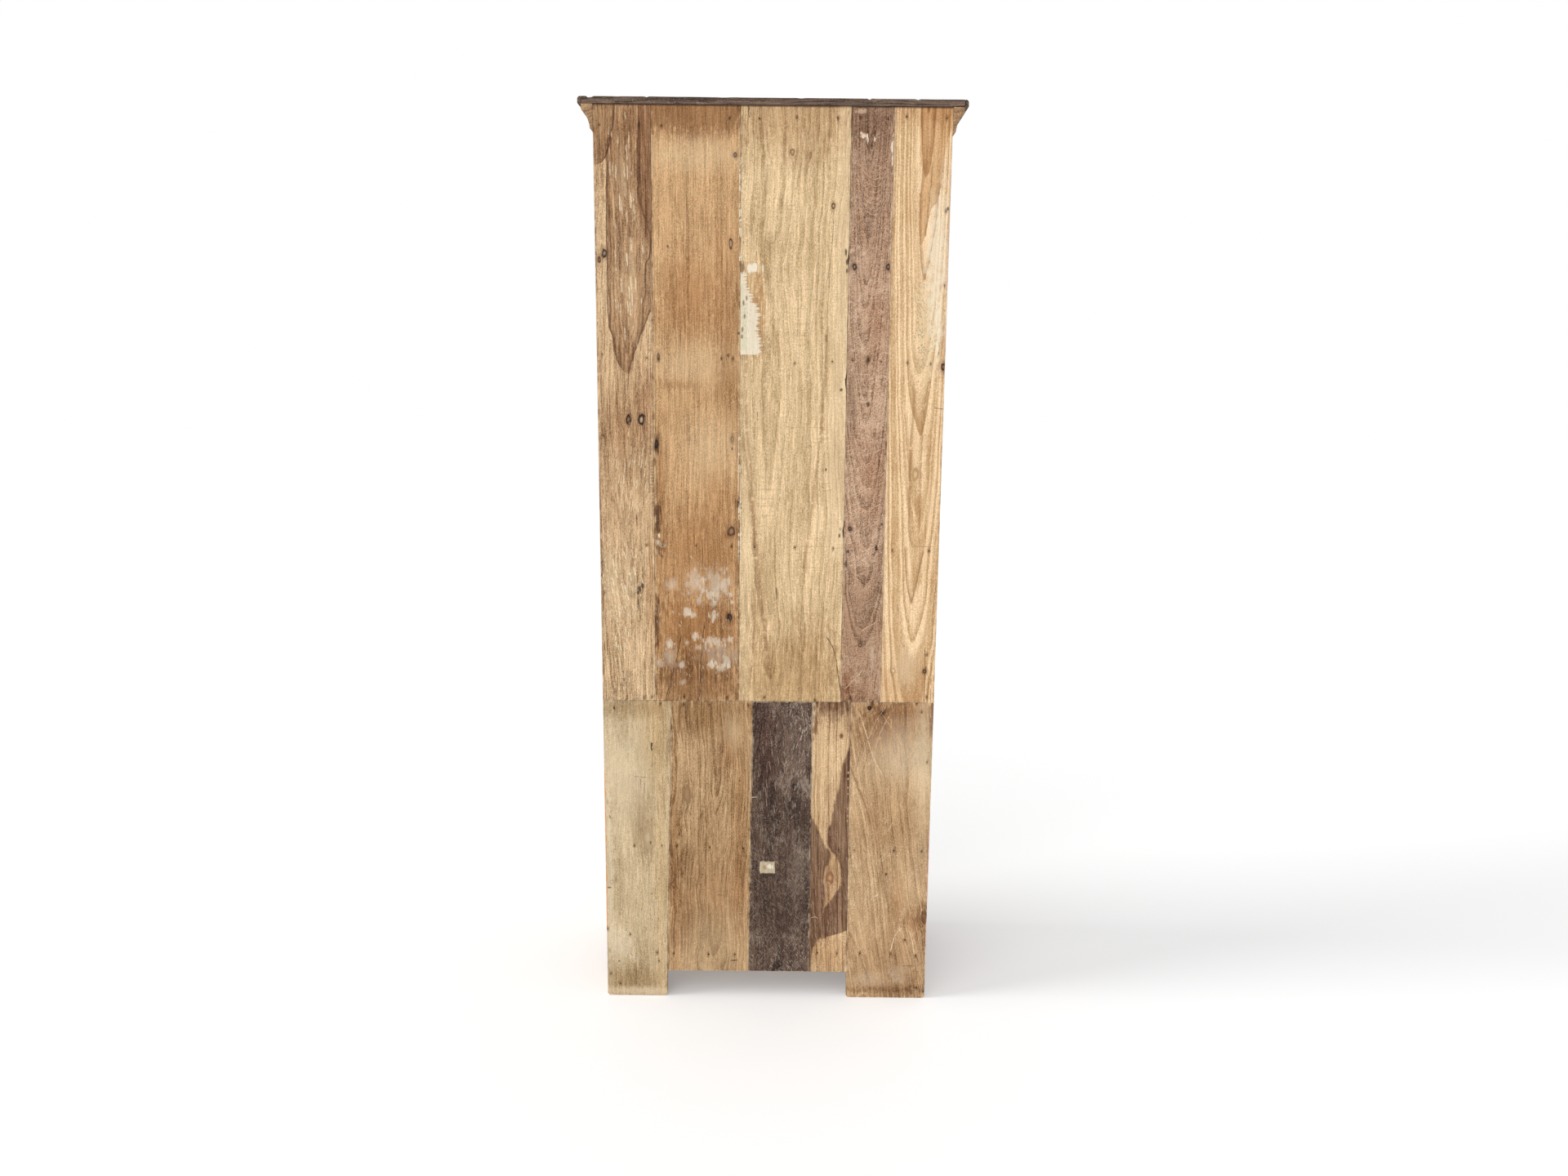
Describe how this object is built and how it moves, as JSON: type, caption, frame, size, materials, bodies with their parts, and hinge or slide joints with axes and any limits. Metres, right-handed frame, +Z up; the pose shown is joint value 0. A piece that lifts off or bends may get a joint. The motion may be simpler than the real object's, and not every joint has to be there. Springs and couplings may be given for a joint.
{
  "type": "two-door cupboard",
  "caption": "Tall freestanding two-door cupboard with shelves, a boarded back, bracket feet and a coved cornice.",
  "frame": {"origin": "middle of the cupboard's bounding box, on the floor", "axes": "+Z up; the doors face -Y and the boarded back faces +Y; +X is to the right as seen from the front"},
  "size_m": [0.814, 0.434, 2.015],
  "materials": {
    "back_boards": "bare, dry, weathered",
    "cap_wood": "bare, weathered grey brown",
    "cornice_paint": "worn grey green paint",
    "carcase_paint": "worn old paint over wood",
    "door_paint": "worn old paint over wood",
    "inner_wood": "bare planed wood",
    "knob_wood": "handled, waxed",
    "old_iron": "dull, slightly rusted"
  },
  "bodies": {
    "carcase": {"left_side_front_plank": "carcase_paint", "left_side_rear_plank": "carcase_paint", "right_side_front_plank": "carcase_paint", "right_side_rear_plank": "carcase_paint", "cap_board": "cap_wood", "cap_end_nosings": "cap_wood", "left_cornice": "cornice_paint", "right_cornice": "cornice_paint", "front_cornice": "cornice_paint", "rear_top_rail": "inner_wood", "waist_rail": "inner_wood", "upper_shelf": "inner_wood", "middle_shelf": "inner_wood", "waist_shelf": "inner_wood", "lower_shelf": "inner_wood", "bottom_board": "inner_wood", "left_frame_stile": "carcase_paint", "right_frame_stile": "carcase_paint", "front_top_rail": "carcase_paint", "front_apron": "carcase_paint", "left_frame_hinge_leaves": "old_iron", "right_frame_hinge_leaves": "old_iron", "hinge_pins": "old_iron", "top_bolt_keeper": "old_iron", "back_upper_board_1": "back_boards", "back_upper_board_2": "back_boards", "back_upper_board_3": "back_boards", "back_upper_board_4": "back_boards", "back_upper_board_5": "back_boards", "back_lower_board_1": "back_boards", "back_lower_board_2": "back_boards", "back_lower_board_3": "back_boards", "back_lower_board_4": "back_boards", "back_lower_board_5": "back_boards"},
    "left_door": {"left_hinge_stile": "door_paint", "left_meeting_stile": "door_paint", "left_top_rail": "door_paint", "left_upper_cross_rail": "door_paint", "left_lower_cross_rail": "door_paint", "left_bottom_rail": "door_paint", "left_top_panel": "door_paint", "left_middle_panel": "door_paint", "left_bottom_panel": "door_paint", "left_door_hinge_leaves": "old_iron", "left_knob": "knob_wood", "bolt_guides": "old_iron"},
    "right_door": {"right_hinge_stile": "door_paint", "right_meeting_stile": "door_paint", "right_top_rail": "door_paint", "right_upper_cross_rail": "door_paint", "right_lower_cross_rail": "door_paint", "right_bottom_rail": "door_paint", "right_top_panel": "door_paint", "right_middle_panel": "door_paint", "right_bottom_panel": "door_paint", "right_door_hinge_leaves": "old_iron"},
    "turn_latch": {"latch_knob": "knob_wood", "latch_tongue": "old_iron"},
    "top_bolt": {"top_bolt": "old_iron"},
    "bottom_bolt": {"bottom_bolt": "old_iron"}
  },
  "joints": [
    {"name": "left_door_swing", "type": "hinge", "parent": "carcase", "child": "left_door", "pos_m": [-0.3175, -0.19, 0.122], "axis": [0, 0, -1], "range_deg": [0, 165]},
    {"name": "right_door_swing", "type": "hinge", "parent": "carcase", "child": "right_door", "pos_m": [0.3175, -0.19, 0.122], "axis": [0, 0, 1], "range_deg": [0, 165]},
    {"name": "latch_turn", "type": "hinge", "parent": "right_door", "child": "turn_latch", "pos_m": [0.0305, -0.185, 1], "axis": [0, -1, 0], "range_deg": [0, 90]},
    {"name": "top_bolt_slide", "type": "slide", "parent": "left_door", "child": "top_bolt", "axis": [0, 0, 1], "range_m": [0, 0.015]},
    {"name": "bottom_bolt_slide", "type": "slide", "parent": "left_door", "child": "bottom_bolt", "axis": [0, 0, -1], "range_m": [0, 0.015]}
  ]
}
